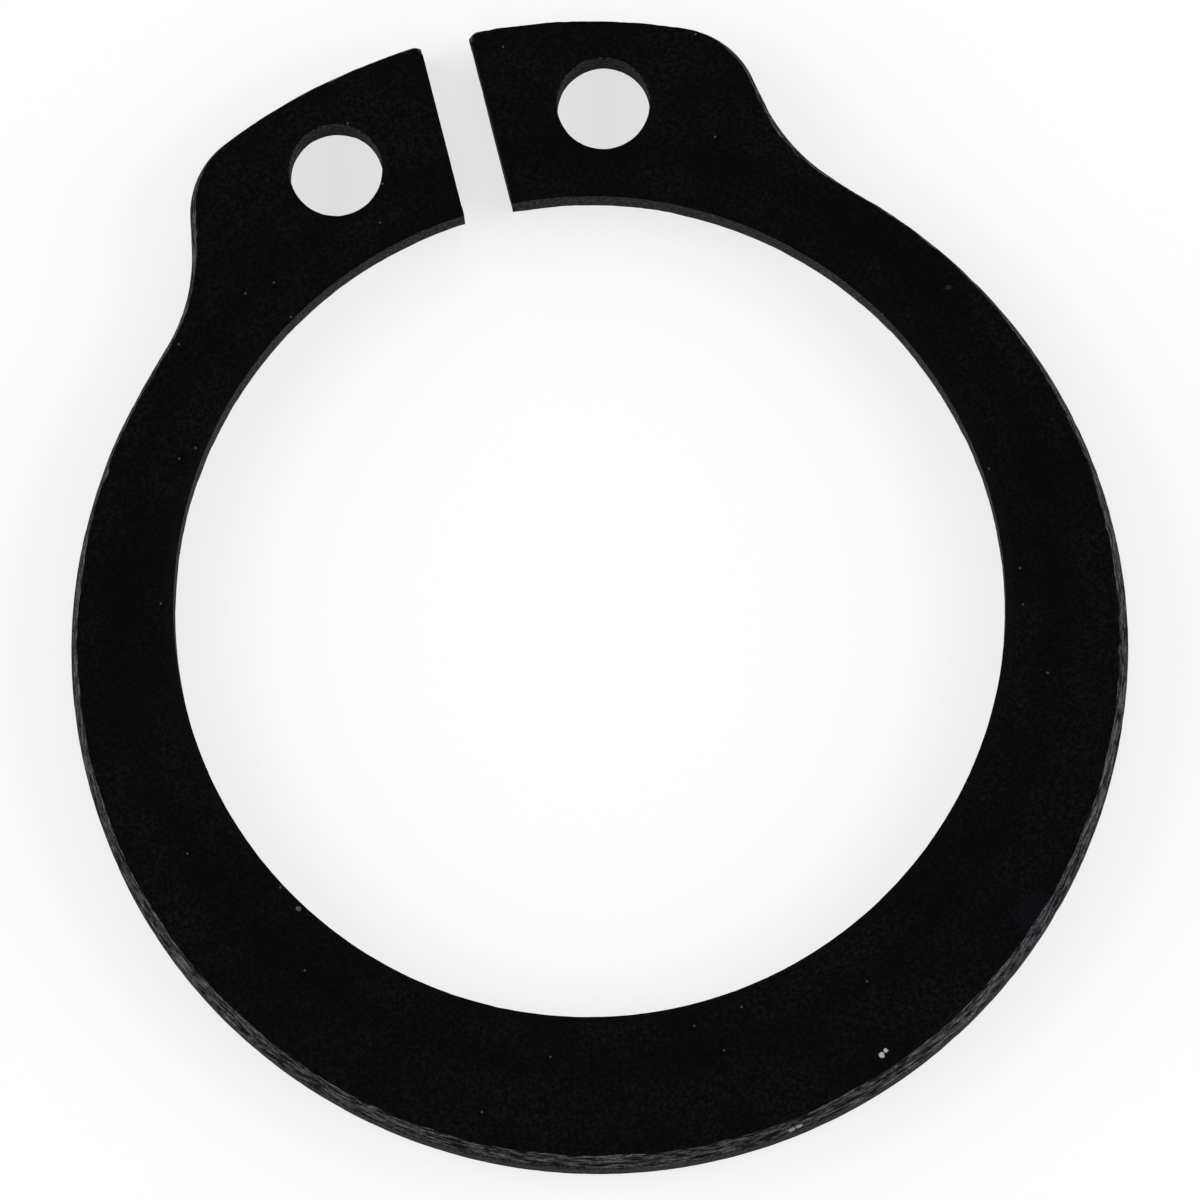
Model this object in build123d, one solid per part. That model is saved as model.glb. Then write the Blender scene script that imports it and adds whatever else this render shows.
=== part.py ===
from build123d import *
import math
import os

# External retaining ring with plier holes, heavy pattern, for a 20 mm shaft.
# One flat piece, blanked from spring steel strip. Millimetres.
# The bore axis is Z, the middle of the thickness lies on Z = 0, and the gap between the lugs
# points along +Y.
#
# The outer contour is blanked from above: its bottom edge is rolled in, its wall is burnished
# upright from there, and near the top it breaks away inwards. The bore, the gap and the plier
# holes are pierced from above: their top edges are rolled in, and near the bottom their walls
# break away outwards.

# Spring body: a round bore in a round contour that is set off away from the gap.
free_inner_diameter = 18.5
thickness = 1.75
section_opposite_gap = 3.37
section_at_gap = 1.75

# Lugs. The lean of a flank is its angle to the centre line of the gap.
gap_width = 1.10
lug_height = 4.21
lug_width = 5.83
flank_lean = 11.3
shoulder_radius = 2.05
gap_corner_radius = 0.20

# Necks, where the lugs run out into the spring body: a hollow round, then a short straight.
neck_radius = 4.0
neck_straight = 1.1

# Plier holes.
plier_hole_diameter = 2.06
hole_to_gap_face = 2.54
hole_to_bore = 2.12

# Sheared edge of the outer contour.
outer_roll_radius = 0.20
outer_breakout_depth = 0.65
outer_breakout_width = 0.20

# Sheared edges of the bore, the gap and the plier holes.
bore_roll_depth = 0.14
bore_roll_width = 0.34
bore_breakout_width = 0.14
hole_roll_depth = 0.08
hole_roll_width = 0.16
hole_breakout_width = 0.12
gap_roll_depth = 0.04
gap_roll_width = 0.06
gap_breakout_width = 0.10
pierced_breakout_depth = 0.60

top = thickness / 2
bottom = -thickness / 2
bore_radius = free_inner_diameter / 2
body_radius = bore_radius + (section_opposite_gap + section_at_gap) / 2
body_centre = Vector(0, (section_at_gap - section_opposite_gap) / 2)
lug_radius = bore_radius + lug_height
half_gap = gap_width / 2
shoulder_angle = math.degrees(math.asin((half_gap + lug_width) / lug_radius))
hole_radius = plier_hole_diameter / 2
hole_x = half_gap + hole_to_gap_face
hole_y = math.sqrt((bore_radius + hole_to_bore) ** 2 - hole_x ** 2)


def direction(angle):
    """Unit vector in the plane of the ring, at an angle from +Y towards +X."""
    return Vector(math.sin(math.radians(angle)), math.cos(math.radians(angle)))


def corners_at(sketch, point):
    """The corner of a sketch at a point, and its mirror image."""
    same_place = 1e-4
    return [
        corner
        for corner in sketch.vertices()
        if math.hypot(abs(corner.X) - point.X, corner.Y - point.Y) < same_place
    ]


def neck_round(shoulder):
    """Centre of the hollow round that touches the flank below a shoulder and leads to the body.

    The round lies its own radius off the flank. The straight is tangent to the round and to the
    body, which sets how far the round lies from the middle of the body.
    """
    flank_way = direction(180 - flank_lean)
    start = shoulder + direction(90 - flank_lean) * neck_radius - body_centre
    reach = math.hypot(neck_straight, body_radius + neck_radius)
    halfway = -start.dot(flank_way)
    down = halfway - math.sqrt(halfway ** 2 + reach ** 2 - start.dot(start))
    return body_centre + start + flank_way * down


def blank_outline():
    """Outer contour of the blank, with a slot that the gap punch widens."""
    shoulder = direction(shoulder_angle) * lug_radius
    neck_centre = neck_round(shoulder)
    to_neck = neck_centre - body_centre
    neck_angle = math.degrees(
        math.atan2(to_neck.X, to_neck.Y) + math.atan2(neck_straight, body_radius + neck_radius)
    )
    flank_angle = 90 - flank_lean
    body_start = body_centre + direction(180) * body_radius
    body_side = body_centre + direction((180 + neck_angle) / 2) * body_radius
    body_end = body_centre + direction(neck_angle) * body_radius
    neck_start = neck_centre - direction(neck_angle) * neck_radius
    neck_middle = neck_centre - direction((neck_angle + flank_angle) / 2) * neck_radius
    neck_end = neck_centre - direction(flank_angle) * neck_radius
    lug_side = direction(shoulder_angle / 2) * lug_radius
    lug_end = direction(0) * lug_radius
    slot_half = half_gap - outer_breakout_width
    slot_corner = Vector(slot_half, math.sqrt(lug_radius ** 2 - slot_half ** 2))
    with BuildSketch() as outline:
        with BuildLine():
            ThreePointArc(body_start, body_side, body_end)
            Line(body_end, neck_start)
            ThreePointArc(neck_start, neck_middle, neck_end)
            Line(neck_end, shoulder)
            ThreePointArc(shoulder, lug_side, lug_end)
            Line(lug_end, body_start)
        make_face()
        mirror(about=Plane.YZ)
        fillet(corners_at(outline, shoulder), shoulder_radius)
        with Locations(lug_end):
            Rectangle(2 * slot_half, 2 * lug_height, mode=Mode.SUBTRACT)
        fillet(corners_at(outline, slot_corner), gap_corner_radius + outer_breakout_width)
    return outline.sketch


def blank():
    """Solid blank, with the rolled edge at its bottom and the breakout at its top."""
    with BuildPart() as part:
        add(blank_outline())
        extrude(amount=thickness / 2, both=True)
        top_face = part.faces().sort_by(Axis.Z)[-1]
        chamfer(top_face.edges(), outer_breakout_width, outer_breakout_depth, reference=top_face)
        bottom_face = part.faces().sort_by(Axis.Z)[0]
        fillet(bottom_face.edges(), outer_roll_radius)
    return part.part


def pierced_section(half_width, roll_width, roll_depth, breakout_width):
    """Half of the section that a punch leaves open, in the XZ plane, from X = 0 to the wall."""
    above = top + thickness
    below = bottom - thickness
    roll_edge = (half_width + roll_width, top)
    wall_top = (half_width, top - roll_depth)
    with BuildSketch(Plane.XZ) as section:
        with BuildLine():
            TangentArc(roll_edge, wall_top, tangent=(-1, 0))
            Polyline(
                wall_top,
                (half_width, bottom + pierced_breakout_depth),
                (half_width + breakout_width, bottom),
                (half_width + breakout_width, below),
                (0, below),
                (0, above),
                (half_width + roll_width, above),
                roll_edge,
            )
        make_face()
    return section.sketch


def round_punch(radius, roll_width, roll_depth, breakout_width):
    """What a round punch takes out of the blank, on the Z axis."""
    return revolve(pierced_section(radius, roll_width, roll_depth, breakout_width), Axis.Z)


def gap_punch():
    """What the gap punch takes out of the blank, from the bore outwards."""
    half = pierced_section(half_gap, gap_roll_width, gap_roll_depth, gap_breakout_width)
    return extrude(half + mirror(half, Plane.YZ), amount=-2 * lug_radius)


def retaining_ring():
    """The whole ring: the blank with its bore, gap and two plier holes pierced."""
    bore = round_punch(bore_radius, bore_roll_width, bore_roll_depth, bore_breakout_width)
    hole = round_punch(hole_radius, hole_roll_width, hole_roll_depth, hole_breakout_width)
    holes = [Pos(side * hole_x, hole_y) * hole for side in (-1, 1)]
    return blank() - bore - gap_punch() - holes


os.makedirs("parts", exist_ok=True)
export_step(retaining_ring(), "parts/retaining_ring.step")
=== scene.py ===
import math

import bpy
import numpy as np
from mathutils import Matrix, Vector, geometry, kdtree


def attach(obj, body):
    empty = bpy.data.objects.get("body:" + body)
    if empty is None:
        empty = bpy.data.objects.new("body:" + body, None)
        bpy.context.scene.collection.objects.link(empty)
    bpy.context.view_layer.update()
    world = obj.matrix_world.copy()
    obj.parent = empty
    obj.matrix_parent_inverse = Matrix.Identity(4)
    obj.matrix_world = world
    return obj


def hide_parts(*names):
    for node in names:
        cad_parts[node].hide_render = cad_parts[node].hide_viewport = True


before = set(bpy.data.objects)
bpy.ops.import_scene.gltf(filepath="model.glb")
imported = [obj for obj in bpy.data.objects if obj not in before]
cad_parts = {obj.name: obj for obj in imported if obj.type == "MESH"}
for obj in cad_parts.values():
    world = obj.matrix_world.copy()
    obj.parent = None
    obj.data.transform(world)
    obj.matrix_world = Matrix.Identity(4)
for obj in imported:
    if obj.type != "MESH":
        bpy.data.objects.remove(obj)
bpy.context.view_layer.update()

# External retaining ring with plier holes, blanked from spring steel strip and phosphated black.
# The model is in metres. Sizes are in millimetres here, and mm turns them into metres.
mm = 0.001

# Spring body and lugs.
free_inner_diameter = 18.5
thickness = 1.75
section_opposite_gap = 3.37
section_at_gap = 1.75
gap_width = 1.10
lug_height = 4.21
lug_width = 5.83
flank_lean = 11.3
shoulder_radius = 2.05
gap_corner_radius = 0.20
neck_radius = 4.0
neck_straight = 1.1

# Plier holes.
plier_hole_diameter = 2.06
hole_to_gap_face = 2.54
hole_to_bore = 2.12

# Sheared edges: the blanked outer contour, then the pierced bore, gap and holes.
outer_roll_radius = 0.20
outer_breakout_depth = 0.65
outer_breakout_width = 0.20
bore_roll = (0.34, 0.14)
hole_roll = (0.16, 0.08)
gap_roll = (0.06, 0.04)
bore_breakout_width = 0.14
hole_breakout_width = 0.12
gap_breakout_width = 0.10
pierced_breakout_depth = 0.60

# Towards the lugs the blanked wall is sheared straighter, so the steel is that much narrower there
# under its top edge. It sets in at that y and is whole after that run.
lug_side_straighter = 0.07
straighter_start = -6
straighter_run = 12

# Relief of the sheared walls, which only goes into the steel: its depth, then the length and the
# height of its features. Pits come only where the noise passes their rarity.
wave_relief = (0.010, 1.3, 0.5)
tear_relief = (0.014, 0.8, 0.12)
crumb_relief = (0.008, 0.14, 0.12)
drawn_relief = (0.003, 0.2, thickness)
scuff_relief = (0.012, 0.4, 0.2)
scuff_rarity = 1.6
nick_relief = (0.03, 0.35, thickness)
nick_rarity = 1.2
nick_reach = 0.15

# The border of the burnished band: how far it wanders and over what length, and how wide it fades.
border_bends = (0.06, 1.6)
border_crinkles = (0.03, 0.3)
border_fade = 0.12

# The walls stand in by this much, so that the mesh stays inside the solid's box.
inside_solid = 0.006

# How fine the mesh is: along the contour, across the walls and over the two faces.
contour_step = 0.09
corner_step = 0.03
hole_step = 0.07
top_grid = 0.13
bottom_grid = 0.30
grid_jitter = 0.12
sharp_angle = 40

bore_radius = free_inner_diameter / 2
body_radius = bore_radius + (section_opposite_gap + section_at_gap) / 2
body_centre = np.array([0, (section_at_gap - section_opposite_gap) / 2])
lug_radius = bore_radius + lug_height
half_gap = gap_width / 2
hole_radius = plier_hole_diameter / 2
hole_x = half_gap + hole_to_gap_face
hole_y = math.sqrt((bore_radius + hole_to_bore) ** 2 - hole_x ** 2)
burnish_top = thickness - outer_breakout_depth

draw = np.random.default_rng(20)


# ---------------------------------------------------------------- contour

def direction(angle):
    """Unit vectors in the plane of the ring, at angles in degrees from +Y towards +X."""
    turn = np.radians(angle)
    return np.stack([np.sin(turn), np.cos(turn)], -1)


def spread(start, end, length, step):
    """Values from start to end, evenly spaced for a stretch of that length, without the last."""
    count = max(int(math.ceil(length / step)), 2)
    return np.linspace(start, end, count, endpoint=False)


def arc(centre, radius, start, end, step=contour_step, hollow=False):
    """Points and outward normals along an arc. On a hollow arc the normals point to its centre."""
    angles = spread(start, end, radius * math.radians(abs(end - start)), step)
    rays = direction(angles)
    if hollow:
        return centre - rays * radius, rays
    return centre + rays * radius, rays


def straight(start, end, normal):
    """Points and outward normals along a straight."""
    shares = spread(0, 1, math.dist(start, end), contour_step)[:, None]
    return start + (end - start) * shares, np.repeat([normal], len(shares), 0)


def outer_half():
    """Points and normals of the widest outer contour on the +X side, which end at the gap."""
    shoulder_angle = math.degrees(math.asin((half_gap + lug_width) / lug_radius))
    shoulder = direction(shoulder_angle) * lug_radius
    flank_angle = 90 - flank_lean
    down_flank = direction(180 - flank_lean)
    off_flank = direction(flank_angle)

    # The hollow neck round touches the flank. A straight then joins it to the body.
    start = shoulder + off_flank * neck_radius - body_centre
    reach = math.hypot(neck_straight, body_radius + neck_radius)
    halfway = -start @ down_flank
    down = halfway - math.sqrt(halfway ** 2 + reach ** 2 - start @ start)
    to_neck = start + down_flank * down
    neck_centre = body_centre + to_neck
    neck_angle = math.degrees(
        math.atan2(*to_neck) + math.atan2(neck_straight, body_radius + neck_radius)
    )

    # The shoulder round touches the flank and the lug's top from inside.
    start = shoulder - off_flank * shoulder_radius
    halfway = -start @ down_flank
    reach = lug_radius - shoulder_radius
    down = halfway - math.sqrt(halfway ** 2 + reach ** 2 - start @ start)
    round_centre = start + down_flank * down
    round_angle = math.degrees(math.atan2(*round_centre))

    # The gap corner is rounded about a centre that its radius at the top face sets.
    corner_radius = gap_corner_radius + outer_breakout_width
    corner_x = half_gap + gap_corner_radius
    corner_y = math.sqrt((lug_radius - corner_radius) ** 2 - corner_x ** 2)
    corner_angle = math.degrees(math.atan2(corner_x, corner_y))

    body_end = body_centre + direction(neck_angle) * body_radius
    neck_start = neck_centre - direction(neck_angle) * neck_radius
    neck_end = neck_centre - off_flank * neck_radius
    round_start = round_centre + off_flank * shoulder_radius
    parts = [
        arc(body_centre, body_radius, 180, neck_angle),
        straight(body_end, neck_start, direction(neck_angle)),
        arc(neck_centre, neck_radius, neck_angle, flank_angle, hollow=True),
        straight(neck_end, round_start, off_flank),
        arc(round_centre, shoulder_radius, flank_angle, round_angle),
        arc(np.zeros(2), lug_radius, round_angle, corner_angle),
        arc(np.array([corner_x, corner_y]), corner_radius, corner_angle, -90, corner_step),
    ]
    points = np.vstack([p for p, _ in parts])
    normals = np.vstack([n for _, n in parts])
    return points, normals, corner_y


# ---------------------------------------------------------------- wall profiles

def wall_heights():
    """Heights over the bottom face of the rows of a wall, closer together in the rolled edges."""
    roll = outer_roll_radius * (1 - np.cos(np.radians(np.arange(0, 90, 18))))
    lower = np.linspace(outer_roll_radius, pierced_breakout_depth, 6)[:-1]
    middle = np.linspace(pierced_breakout_depth, burnish_top, 6)[:-1]
    roll_start = thickness - bore_roll[1]
    upper = np.linspace(burnish_top, roll_start, 8)[:-1]
    edge = thickness - bore_roll[1] * (1 - np.linspace(0, 1, 8)) ** 1.6
    return np.concatenate([roll, lower, middle, upper, edge])


def broken_share(height):
    """How far up the blanked wall's breakout a height lies, from 0 to 1."""
    return np.clip(height - burnish_top, 0, None) / outer_breakout_depth


def blanked_inset(height):
    """How far the blanked wall lies inside the widest contour, at heights over the bottom face."""
    rolled = np.clip(outer_roll_radius - height, 0, None)
    roll = outer_roll_radius - np.sqrt(outer_roll_radius ** 2 - rolled ** 2)
    return roll + outer_breakout_width * broken_share(height)


def pierced_inset(height, roll, breakout_width):
    """How far a pierced wall lies behind the punch, at heights over the bottom face."""
    roll_width, roll_depth = roll
    radius = (roll_width ** 2 + roll_depth ** 2) / (2 * roll_depth)
    drop = np.clip(thickness - height, 0, roll_depth)
    rolled = roll_width - np.sqrt(radius ** 2 - (radius - drop) ** 2)
    broken = np.clip(1 - height / pierced_breakout_depth, 0, None)
    return rolled + breakout_width * broken


def ease(share):
    """A soft step from 0 to 1."""
    share = np.clip(share, 0, 1)
    return share * share * (3 - 2 * share)


def grain(along, heights, length, depth):
    """Smooth seeded noise about 0 on a closed wall, whose features have that length and depth."""
    around = max(round(along[-1] / length), 4)
    levels = max(round(thickness / depth), 1)
    lattice = draw.normal(0, 1, (levels + 1, around))
    column = along / (along[-1] + along[1]) * around
    row = heights / thickness * levels
    left = np.floor(column).astype(int) % around
    under = np.clip(np.floor(row).astype(int), 0, levels - 1)
    across = ease(column - np.floor(column))
    upwards = ease(row - under)[:, None]
    right = (left + 1) % around
    lower = lattice[under][:, left] * (1 - across) + lattice[under][:, right] * across
    upper = lattice[under + 1][:, left] * (1 - across) + lattice[under + 1][:, right] * across
    return lower * (1 - upwards) + upper * upwards


def furrows(along, heights, size):
    """Seeded hollows all over a wall, with that depth, length and height."""
    deep, length, high = size
    return deep * np.abs(grain(along, heights, length, high))


def pits(along, heights, size, rarity):
    """Seeded hollows here and there on a wall, with that depth, length and height."""
    deep, length, high = size
    return deep * np.clip(grain(along, heights, length, high) - rarity, 0, None)


def shear(places, normals, rolled, heights):
    """Roughens a sheared wall, into the steel.

    rolled is the depth of the rolled top edge at each column, which is 0 where the contour was
    blanked. Returns the places, how torn each of them is from 0 to 1, and which of the quads
    between them are strip face that was only bent. The burnished band keeps the upright lines
    of the punch. The torn band has long tears and crumbs along the contour, and its border with
    the burnished band wanders.
    """
    pierced = rolled > 0
    bent = pierced & (heights[:-1, None] > thickness - rolled - 1e-6)
    steps = np.linalg.norm(np.diff(places[0, :, :2], axis=0), axis=1)
    along = np.concatenate([[0], np.cumsum(steps)])
    rows = heights[:, None]
    level = np.zeros(1)
    bends = border_bends[0] * grain(along, level, border_bends[1], thickness)
    crinkles = border_crinkles[0] * grain(along, level, border_crinkles[1], thickness)
    wander = bends + crinkles
    above = rows - burnish_top + wander
    below = pierced_breakout_depth - rows + wander
    torn = ease(np.where(pierced, below, above) / border_fade + 0.5)

    waves = furrows(along, heights, wave_relief)
    tears = furrows(along, heights, tear_relief)
    crumbs = furrows(along, heights, crumb_relief)
    drawn = furrows(along, heights, drawn_relief)
    scuffs = pits(along, heights, scuff_relief, scuff_rarity)
    relief = (waves + tears + crumbs) * torn + (drawn + scuffs) * (1 - torn)

    # Nicks along the edge where the wall tore through: the top of a blanked wall, the foot of a
    # pierced one.
    nicks = pits(along, level, nick_relief, nick_rarity)
    from_edge = np.where(pierced, rows, thickness - rows)
    edge = ease(1 - from_edge / nick_reach)
    relief = relief + nicks * edge + inside_solid
    places[..., :2] -= normals * relief[..., None]
    return places, torn, bent


# ---------------------------------------------------------------- ring

def ring_wall(heights):
    """The wall right round the ring, as places[row, column, xyz] with what shear says of them."""
    outline, normals, corner_y = outer_half()
    rows = heights[:, None]

    # The blanked wall, cut off where the gap punch passes.
    set_in = (outline[:, 1] - straighter_start) / straighter_run
    straighter = lug_side_straighter * ease(set_in)
    inset = blanked_inset(rows) + straighter * (1 - broken_share(rows))
    gap_x = half_gap + pierced_inset(rows, gap_roll, gap_breakout_width)
    x = outline[:, 0] - inset * normals[:, 0]
    y = outline[:, 1] - inset * normals[:, 1]
    in_corner = (outline[:, 1] > corner_y) & (outline[:, 0] < 2 * half_gap)
    x = np.where(in_corner, np.maximum(x, gap_x), x)

    # The gap face, from the corner down to the bore.
    bore_r = bore_radius + pierced_inset(rows, bore_roll, bore_breakout_width)
    bore_corner_y = np.sqrt(bore_r ** 2 - gap_x ** 2)
    face = spread(0, 1, corner_y - bore_radius, contour_step)
    face_y = corner_y + (bore_corner_y - corner_y) * face
    face_x = np.repeat(gap_x, len(face), 1)

    # The bore, from the gap face to opposite the gap.
    first = np.arcsin(gap_x / bore_r)
    share = spread(0, 1, math.pi * bore_radius, contour_step)
    turn = first + (math.pi - first) * share
    bore_x = bore_r * np.sin(turn)
    bore_y = bore_r * np.cos(turn)

    half_x = np.hstack([x, face_x, bore_x])
    half_y = np.hstack([y, face_y, bore_y])
    bore_normals = -direction(np.degrees(turn[-1]))
    face_normals = np.repeat([[-1.0, 0.0]], len(face), 0)
    half_normals = np.vstack([normals, face_normals, bore_normals])
    depths = [0] * x.shape[1] + [gap_roll[1]] * len(face) + [bore_roll[1]] * len(share)
    half_rolled = np.array(depths)

    # The -X side mirrors the +X side, in reverse, and the loop closes opposite the gap.
    all_x = np.hstack([half_x, np.zeros_like(bore_r), -half_x[:, :0:-1]])
    all_y = np.hstack([half_y, -bore_r, half_y[:, :0:-1]])
    all_normals = np.vstack([half_normals, [[0.0, 1.0]], half_normals[:0:-1] * [-1, 1]])
    rolled = np.concatenate([half_rolled, [bore_roll[1]], half_rolled[:0:-1]])
    places = np.stack([all_x, all_y, np.repeat(rows, all_x.shape[1], 1)], -1)
    return shear(places, all_normals, rolled, heights)


def hole_wall(heights, centre_x):
    """The wall of a plier hole, wound so that its normals point into the hole."""
    rows = heights[:, None]
    radius = hole_radius + pierced_inset(rows, hole_roll, hole_breakout_width)
    turn = spread(0, 2 * math.pi, 2 * math.pi * hole_radius, hole_step)
    x = centre_x + radius * np.sin(turn)
    y = hole_y + radius * np.cos(turn)
    places = np.stack([x, y, np.repeat(rows, len(turn), 1)], -1)
    rolled = np.full(len(turn), hole_roll[1])
    return shear(places, -direction(np.degrees(turn)), rolled, heights)


def inside(points, loops):
    """Which points lie in the steel: inside an odd number of the closed loops."""
    odd = np.zeros(len(points), bool)
    for loop in loops:
        ahead = np.roll(loop, -1, 0)
        for (x0, y0), (x1, y1) in zip(loop, ahead):
            if y0 == y1:
                continue
            crosses = (points[:, 1] > min(y0, y1)) & (points[:, 1] <= max(y0, y1))
            at = x0 + (points[:, 1] - y0) * (x1 - x0) / (y1 - y0)
            odd ^= crosses & (points[:, 0] < at)
    return odd


def face_triangles(loops, spacing):
    """Fills a flat face of the ring with even triangles. Returns the added points and triangles,
    whose corners are numbered through the loops first and then through the added points."""
    rim = np.vstack(loops)
    low, high = rim.min(0), rim.max(0)
    row_gap = spacing * math.sqrt(3) / 2
    grid = [
        (x + (row % 2) * spacing / 2, y)
        for row, y in enumerate(np.arange(low[1], high[1], row_gap))
        for x in np.arange(low[0], high[0], spacing)
    ]
    grid = np.array(grid)
    grid = grid + draw.uniform(-grid_jitter, grid_jitter, grid.shape) * spacing
    grid = grid[inside(grid, loops)]
    tree = kdtree.KDTree(len(rim))
    for number, (x, y) in enumerate(rim):
        tree.insert((x, y, 0), number)
    tree.balance()

    # A point too near the rim would make slivers.
    clear = 0.6 * min(spacing, contour_step * 1.4)
    grid = np.array([p for p in grid if tree.find((p[0], p[1], 0))[2] > clear])
    edges = []
    first = 0
    for loop in loops:
        count = len(loop)
        edges += [(first + i, first + (i + 1) % count) for i in range(count)]
        first += count
    everything = [Vector(p) for p in np.vstack([rim, grid])]
    found = geometry.delaunay_2d_cdt(everything, edges, [], 0, 1e-7)
    places = np.array([tuple(v) for v in found[0]])
    number = np.array([o[0] if len(o) else -1 for o in found[3]])
    triangles = np.array([t for t in found[2] if len(t) == 3])
    middles = places[triangles].mean(1)
    return grid, number[triangles[inside(middles, loops)]]


def grid_quads(first, rows, columns):
    """Quads of a closed wall, whose points are numbered row by row from first."""
    row, column = np.meshgrid(np.arange(rows - 1), np.arange(columns), indexing="ij")
    after = (column + 1) % columns
    corners = [row * columns + column, row * columns + after]
    corners += [(row + 1) * columns + after, (row + 1) * columns + column]
    return first + np.stack([c.ravel() for c in corners], -1)


def make_ring():
    """The whole ring as one closed mesh: three walls, and the two faces between them."""
    heights = wall_heights()
    rows = len(heights)
    walls = [ring_wall(heights), hole_wall(heights, -hole_x), hole_wall(heights, hole_x)]
    columns = [places.shape[1] for places, _, _ in walls]
    firsts = np.cumsum([0] + [rows * count for count in columns])

    points = [places.reshape(-1, 3) for places, _, _ in walls]
    torn = [share.ravel() for _, share, _ in walls]
    polygons = []
    finishes = []
    for first, count, (_, _, bent) in zip(firsts, columns, walls):
        polygons += grid_quads(first, rows, count).tolist()
        finishes += np.where(bent, 0, 1).ravel().tolist()

    total = firsts[-1]
    for row, spacing in ((rows - 1, top_grid), (0, bottom_grid)):
        loops = [places[row, :, :2] for places, _, _ in walls]
        rims = [first + row * count + np.arange(count) for first, count in zip(firsts, columns)]
        added, triangles = face_triangles(loops, spacing)
        numbers = np.concatenate(rims + [total + np.arange(len(added))])
        triangles = numbers[triangles]
        polygons += (triangles if row else triangles[:, ::-1]).tolist()
        finishes += [0] * len(triangles)
        points.append(np.column_stack([added, np.full(len(added), heights[row])]))
        torn.append(np.zeros(len(added)))
        total += len(added)

    places = np.vstack(points)
    places[:, 2] -= thickness / 2
    mesh = bpy.data.meshes.new("phosphated_ring")
    mesh.from_pydata((places * mm).tolist(), [], polygons)
    mesh.update()
    mesh.shade_smooth()
    mesh.set_sharp_from_angle(angle=math.radians(sharp_angle))
    share = mesh.attributes.new("torn", "FLOAT", "POINT")
    share.data.foreach_set("value", np.concatenate(torn).astype(np.float32))
    mesh.polygons.foreach_set("material_index", finishes)
    return mesh


# ---------------------------------------------------------------- finishes

def linear(colour):
    """A hex sRGB colour as linear red, green, blue and alpha."""
    parts = [int(colour[i:i + 2], 16) / 255 for i in (1, 3, 5)]
    return [c / 12.92 if c <= 0.04045 else ((c + 0.055) / 1.055) ** 2.4 for c in parts] + [1]


def add(tree, kind, inputs, **settings):
    """Adds a node. An input is a value, or the output of another node that is linked to it."""
    node = tree.nodes.new("ShaderNode" + kind)
    for name, value in settings.items():
        setattr(node, name, value)
    for socket, value in inputs.items():
        if isinstance(value, bpy.types.NodeSocket):
            tree.links.new(value, node.inputs[socket])
        else:
            node.inputs[socket].default_value = value
    return node


def new_material(name):
    """A material with its node tree and its shader."""
    material = bpy.data.materials.new(name)
    material.use_nodes = True
    tree = material.node_tree
    return material, tree, tree.nodes["Principled BSDF"]


def per(size):
    """The scale of a pattern whose features are that many millimetres."""
    return 1 / (size * mm)


def spot(tree, place, at, radius):
    """A ragged spot of that radius about a place in millimetres: 1 inside it and 0 outside."""
    ragged = add(tree, "TexNoise", {"Vector": place, "Scale": per(0.06), "Detail": 2.0})
    away = add(tree, "VectorMath", {0: place, 1: [c * mm for c in at]}, operation="DISTANCE")
    bitten = add(tree, "Math", {
        0: ragged.outputs["Fac"], 1: 1.2 * radius * mm, 2: away.outputs["Value"],
    }, operation="MULTIPLY_ADD")
    return add(tree, "MapRange", {
        "Value": bitten.outputs[0], "From Min": 1.75 * radius * mm, "From Max": 1.45 * radius * mm,
    }).outputs[0]


def over(tree, mask, under, colour):
    """A colour laid over another where the mask is 1."""
    inputs = {"Fac": mask, "Color1": under, "Color2": linear(colour)}
    return add(tree, "MixRGB", inputs).outputs[0]


def marked(tree, place, under, marks):
    """A colour with spots laid over it. A mark is a place, a radius, a strength and a colour."""
    for at, radius, strength, colour in marks:
        mask = spot(tree, place, at, radius)
        if strength < 1:
            mask = add(tree, "Math", {0: mask, 1: strength}, operation="MULTIPLY").outputs[0]
        under = over(tree, mask, under, colour)
    return under


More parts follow.
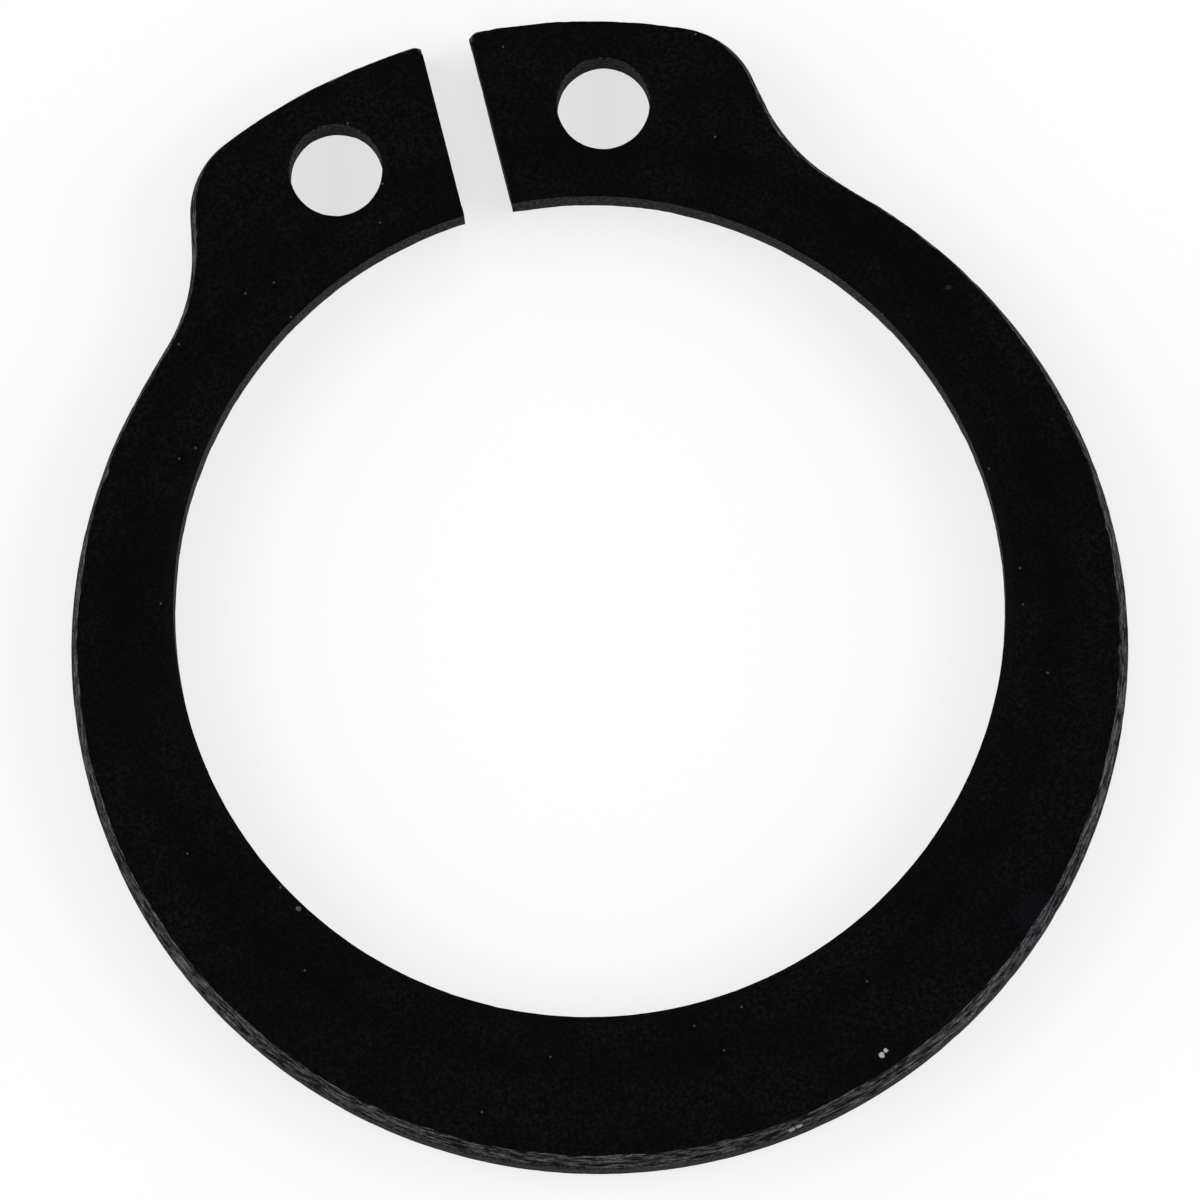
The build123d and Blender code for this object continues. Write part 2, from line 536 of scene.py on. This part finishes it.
def phosphated_face():
    """Cold rolled strip with a black zinc phosphate coat, oiled.

    The crystals drink in the light, so the face is a matt near-black with hardly any gloss. Dull
    grey grains of thicker coat lie over it in drifts, with a few bright crystals. The coat covers
    the steel, so nothing of it looks metallic.
    """
    material, tree, shader = new_material("black phosphated strip")
    place = add(tree, "TexCoord", {}).outputs["Object"]

    # The crystals are some 0.01 mm. They are drawn eight times as large, which is as fine as shows.
    crystals = add(tree, "TexNoise", {
        "Vector": place, "Scale": per(0.085), "Detail": 3.0, "Roughness": 0.7,
    })
    drifts = add(tree, "TexNoise", {
        "Vector": place, "Scale": per(1.7), "Detail": 5.0, "Roughness": 0.6,
    })
    amount = add(tree, "MapRange", {
        "Value": drifts.outputs["Fac"], "From Min": 0.4, "From Max": 0.66, "To Min": 0.3,
    })
    grains = add(tree, "MapRange", {
        "Value": crystals.outputs["Fac"], "From Min": 0.44, "From Max": 0.74,
    })
    shown = add(tree, "Math", {0: amount.outputs[0], 1: grains.outputs[0]}, operation="MULTIPLY")
    coat = over(tree, shown.outputs[0], linear("#050505"), "#19191a")

    # Painted shade: a darker band round the bore stands in for the shading that a slight tilt of
    # the face there would give under the lamps.
    shaded_band_radius = bore_radius + 1.15
    shaded_band_reach = 0.6
    flat = add(tree, "VectorMath", {0: place, 1: (1, 1, 0)}, operation="MULTIPLY")
    radius = add(tree, "VectorMath", {0: flat.outputs[0]}, operation="LENGTH")
    past = add(tree, "Math", {
        0: radius.outputs["Value"], 1: shaded_band_radius * mm,
    }, operation="SUBTRACT")
    away = add(tree, "Math", {0: past.outputs[0]}, operation="ABSOLUTE")
    band = add(tree, "MapRange", {
        "Value": away.outputs[0], "From Max": shaded_band_reach * mm, "To Min": 0.45, "To Max": 0.0,
    }, interpolation_type="SMOOTHSTEP")
    # The painted shade band is laid over the coat here, darkening it towards #040404.
    coat = over(tree, band.outputs[0], coat, "#040404")

    # Stains: a wide brown one, a faint blue one and a speck of rust.
    top = thickness / 2
    coat = marked(tree, place, coat, [
        ((-9.9, 0.3, top), 1.1, 0.12, "#140a0c"),
        ((7.9, -9.2, top), 0.5, 0.2, "#1c1e2c"),
        ((9.53, 4.95, top), 0.06, 1, "#2c1e16"),
    ])

    # Bright crystals: a small dot in one cell here and there.
    bright = add(tree, "TexVoronoi", {"Vector": place, "Scale": per(0.8)}, voronoi_dimensions="2D")
    near = add(tree, "Math", {0: bright.outputs["Distance"], 1: 0.03}, operation="LESS_THAN")
    chosen = add(tree, "Math", {0: bright.outputs["Color"], 1: 0.78}, operation="GREATER_THAN")
    lit = add(tree, "Math", {0: near.outputs[0], 1: chosen.outputs[0]}, operation="MULTIPLY")
    coat = over(tree, lit.outputs[0], coat, "#4a4a4c")

    # Two larger crystals on the rolled edge of the bore, and a crumb of pale dust in two lobes.
    coat = marked(tree, place, coat, [
        ((-8.17, -4.47, 0.85), 0.06, 1, "#5a5856"),
        ((-7.91, -5.05, 0.85), 0.06, 1, "#5a5856"),
        ((3.77, -11.41, top), 0.06, 1, "#b4b2ac"),
        ((3.88, -11.33, top), 0.045, 1, "#b4b2ac"),
    ])

    bump = add(tree, "Bump", {
        "Height": crystals.outputs["Fac"], "Strength": 0.4, "Distance": 0.006 * mm,
    })
    rough = add(tree, "MapRange", {"Value": shown.outputs[0], "To Min": 0.55, "To Max": 0.8})
    tree.links.new(coat, shader.inputs["Base Color"])
    tree.links.new(rough.outputs[0], shader.inputs["Roughness"])
    tree.links.new(bump.outputs[0], shader.inputs["Normal"])
    shader.inputs["Specular IOR Level"].default_value = 0.03
    return material


def sheared_wall():
    """Steel sheared in the blanking tool, then phosphated.

    The tool burnished one band of it smooth, and the coat is a dull grey there. Beside it the
    steel tore, and the ridges of the tears are too small and rough for the shader to mirror
    anything, so their bluish-grey glints between dark furrows are painted highlights in the colour,
    and the wall has hardly any gloss.
    """
    material, tree, shader = new_material("sheared and phosphated edge")
    place = add(tree, "TexCoord", {}).outputs["Object"]
    torn = add(tree, "Attribute", {}, attribute_name="torn").outputs["Fac"]

    # Tears are 0.4 mm long and 0.08 mm deep, and lie along the edge.
    flat = add(tree, "VectorMath", {0: place, 1: (1, 1, 5)}, operation="MULTIPLY")
    tears = add(tree, "TexNoise", {
        "Vector": flat.outputs[0], "Scale": per(0.4), "Detail": 4.0, "Roughness": 0.65,
    })
    ridges = add(tree, "MapRange", {
        "Value": tears.outputs["Fac"], "From Min": 0.44, "From Max": 0.64,
    })

    # Grit breaks up the ridges, and shows as flecks on the burnished band.
    grit = add(tree, "TexNoise", {
        "Vector": place, "Scale": per(0.09), "Detail": 3.0, "Roughness": 0.7,
    })
    grey = add(tree, "MapRange", {
        "Value": grit.outputs["Fac"], "From Min": 0.42, "From Max": 0.72,
    })
    gaps = add(tree, "MapRange", {
        "Value": grit.outputs["Fac"], "From Min": 0.35, "From Max": 0.6, "To Min": 0.3,
    })
    # Painted highlights: bluish-grey glints on the crests of the tears, laid into the colour of the
    # torn band.
    crest_glints = add(tree, "Math", {0: ridges.outputs[0], 1: gaps.outputs[0]}, operation="MULTIPLY")
    torn_colour_with_glints = over(tree, crest_glints.outputs[0], linear("#161617"), "#808186")
    burnished = over(tree, grey.outputs[0], linear("#121213"), "#545453")
    both = add(tree, "MixRGB", {"Fac": torn, "Color1": burnished, "Color2": torn_colour_with_glints})

    # A chip of pale grime on the edge opposite the gap, in two lobes with a dark speck between.
    colour = marked(tree, place, both.outputs[0], [
        ((1.47, -12.47, 0.37), 0.09, 1, "#b8b09c"),
        ((1.63, -12.45, 0.41), 0.09, 1, "#b8b09c"),
        ((1.55, -12.46, 0.39), 0.03, 1, "#4c4a46"),
    ])

    bump = add(tree, "Bump", {
        "Height": grit.outputs["Fac"], "Strength": 0.6, "Distance": 0.012 * mm,
    })
    rough = add(tree, "MapRange", {"Value": torn, "To Min": 0.7, "To Max": 0.9})
    tree.links.new(colour, shader.inputs["Base Color"])
    tree.links.new(rough.outputs[0], shader.inputs["Roughness"])
    tree.links.new(bump.outputs[0], shader.inputs["Normal"])
    shader.inputs["Specular IOR Level"].default_value = 0.015
    return material


# ---------------------------------------------------------------- camera, floor and light

def add_camera():
    """Long lens high over the ring, leaned a little towards the side opposite the gap.

    turn is how far the ring's gap lies round from the top of the view, lean how far the camera
    leaves the upright, and side which way it leans, from the view's right towards its foot.
    """
    distance = 231.25
    aim_right = 0.238
    aim_up = 0.062
    lens = 312.1
    lean = math.radians(9.72)
    side = math.radians(86.33)
    turn = math.radians(14.26)
    right = Vector((math.cos(turn), -math.sin(turn), 0))
    down = Vector((-math.sin(turn), -math.cos(turn), 0))
    along = right * math.cos(side) + down * math.sin(side)
    across = down * math.cos(side) - right * math.sin(side)
    up = Vector((0, 0, 1))
    back = along * math.sin(lean) + up * math.cos(lean)
    slope = along * math.cos(lean) - up * math.sin(lean)
    camera_right = slope * math.cos(side) - across * math.sin(side)
    camera_down = slope * math.sin(side) + across * math.cos(side)
    aim = Vector((0, 0, thickness / 2)) + camera_right * aim_right - camera_down * aim_up
    data = bpy.data.cameras.new("camera")
    data.sensor_width = 36
    data.lens = lens
    data.clip_start = 0.01
    data.clip_end = 10
    camera = bpy.data.objects.new("camera", data)
    matrix = Matrix((camera_right, -camera_down, back)).transposed().to_4x4()
    matrix.translation = (aim + back * distance) * mm
    camera.matrix_world = matrix
    bpy.context.scene.collection.objects.link(camera)
    bpy.context.scene.camera = camera


def add_floor():
    """A white floor under the ring, whose glow brings it up to white where no shadow falls."""
    half = 1.0
    glow_strength = 0.7
    level = -thickness / 2 * mm
    corners = [(-half, -half), (half, -half), (half, half), (-half, half)]
    mesh = bpy.data.meshes.new("floor")
    mesh.from_pydata([(x, y, level) for x, y in corners], [], [(0, 1, 2, 3)])
    floor = bpy.data.objects.new("floor", mesh)
    bpy.context.scene.collection.objects.link(floor)

    material, tree, shader = new_material("white studio floor")
    shader.inputs["Base Color"].default_value = linear("#a0a0a0")
    shader.inputs["Roughness"].default_value = 0.9
    shader.inputs["Specular IOR Level"].default_value = 0

    # The glow is only seen, straight on or in a gloss, and doesn't light the ring.
    rays = add(tree, "LightPath", {})
    straight_on = rays.outputs["Is Camera Ray"]
    mirrored = add(tree, "Math", {
        0: straight_on, 1: rays.outputs["Is Glossy Ray"],
    }, operation="MAXIMUM")
    seen = add(tree, "Math", {
        0: mirrored.outputs[0], 1: rays.outputs["Is Transmission Ray"],
    }, operation="MAXIMUM")
    glow = add(tree, "Math", {0: seen.outputs[0], 1: glow_strength}, operation="MULTIPLY")
    shader.inputs["Emission Color"].default_value = (1, 1, 1, 1)
    tree.links.new(glow.outputs[0], shader.inputs["Emission Strength"])
    mesh.materials.append(material)


def add_light(name, turn, power, rise=35, distance=0.5, size=0.4):
    """A soft box, turned from +Y towards +X and raised by those degrees, that faces the ring."""
    data = bpy.data.lights.new(name, "AREA")
    data.size = size
    data.energy = power
    lamp = bpy.data.objects.new(name, data)
    turn, rise = math.radians(turn), math.radians(rise)
    level = math.cos(rise)
    way = Vector((math.sin(turn) * level, math.cos(turn) * level, math.sin(rise)))
    lamp.location = way * distance
    lamp.rotation_euler = way.to_track_quat("Z", "Y").to_euler()
    bpy.context.scene.collection.objects.link(lamp)


def add_studio():
    """Two strong soft boxes beside the ring, two weak ones at its ends, and a dim white room."""
    world = bpy.data.worlds.new("studio")
    world.use_nodes = True
    background = world.node_tree.nodes["Background"]
    background.inputs["Color"].default_value = (1, 1, 1, 1)
    background.inputs["Strength"].default_value = 0.15
    bpy.context.scene.world = world
    strong, weak = 1.4, 0.45
    add_light("soft box right", 104, strong)
    add_light("soft box left", 284, strong)
    add_light("soft box gap side", 14, weak)
    add_light("soft box far side", 194, weak)
    add_floor()
    add_camera()
    bpy.context.scene.view_settings.view_transform = "Standard"


# ---------------------------------------------------------------- put together

ring = bpy.data.objects.new("phosphated_ring", make_ring())
bpy.context.scene.collection.objects.link(ring)
ring.data.materials.append(phosphated_face())
ring.data.materials.append(sheared_wall())
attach(ring, "root")
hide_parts("retaining_ring")
add_studio()
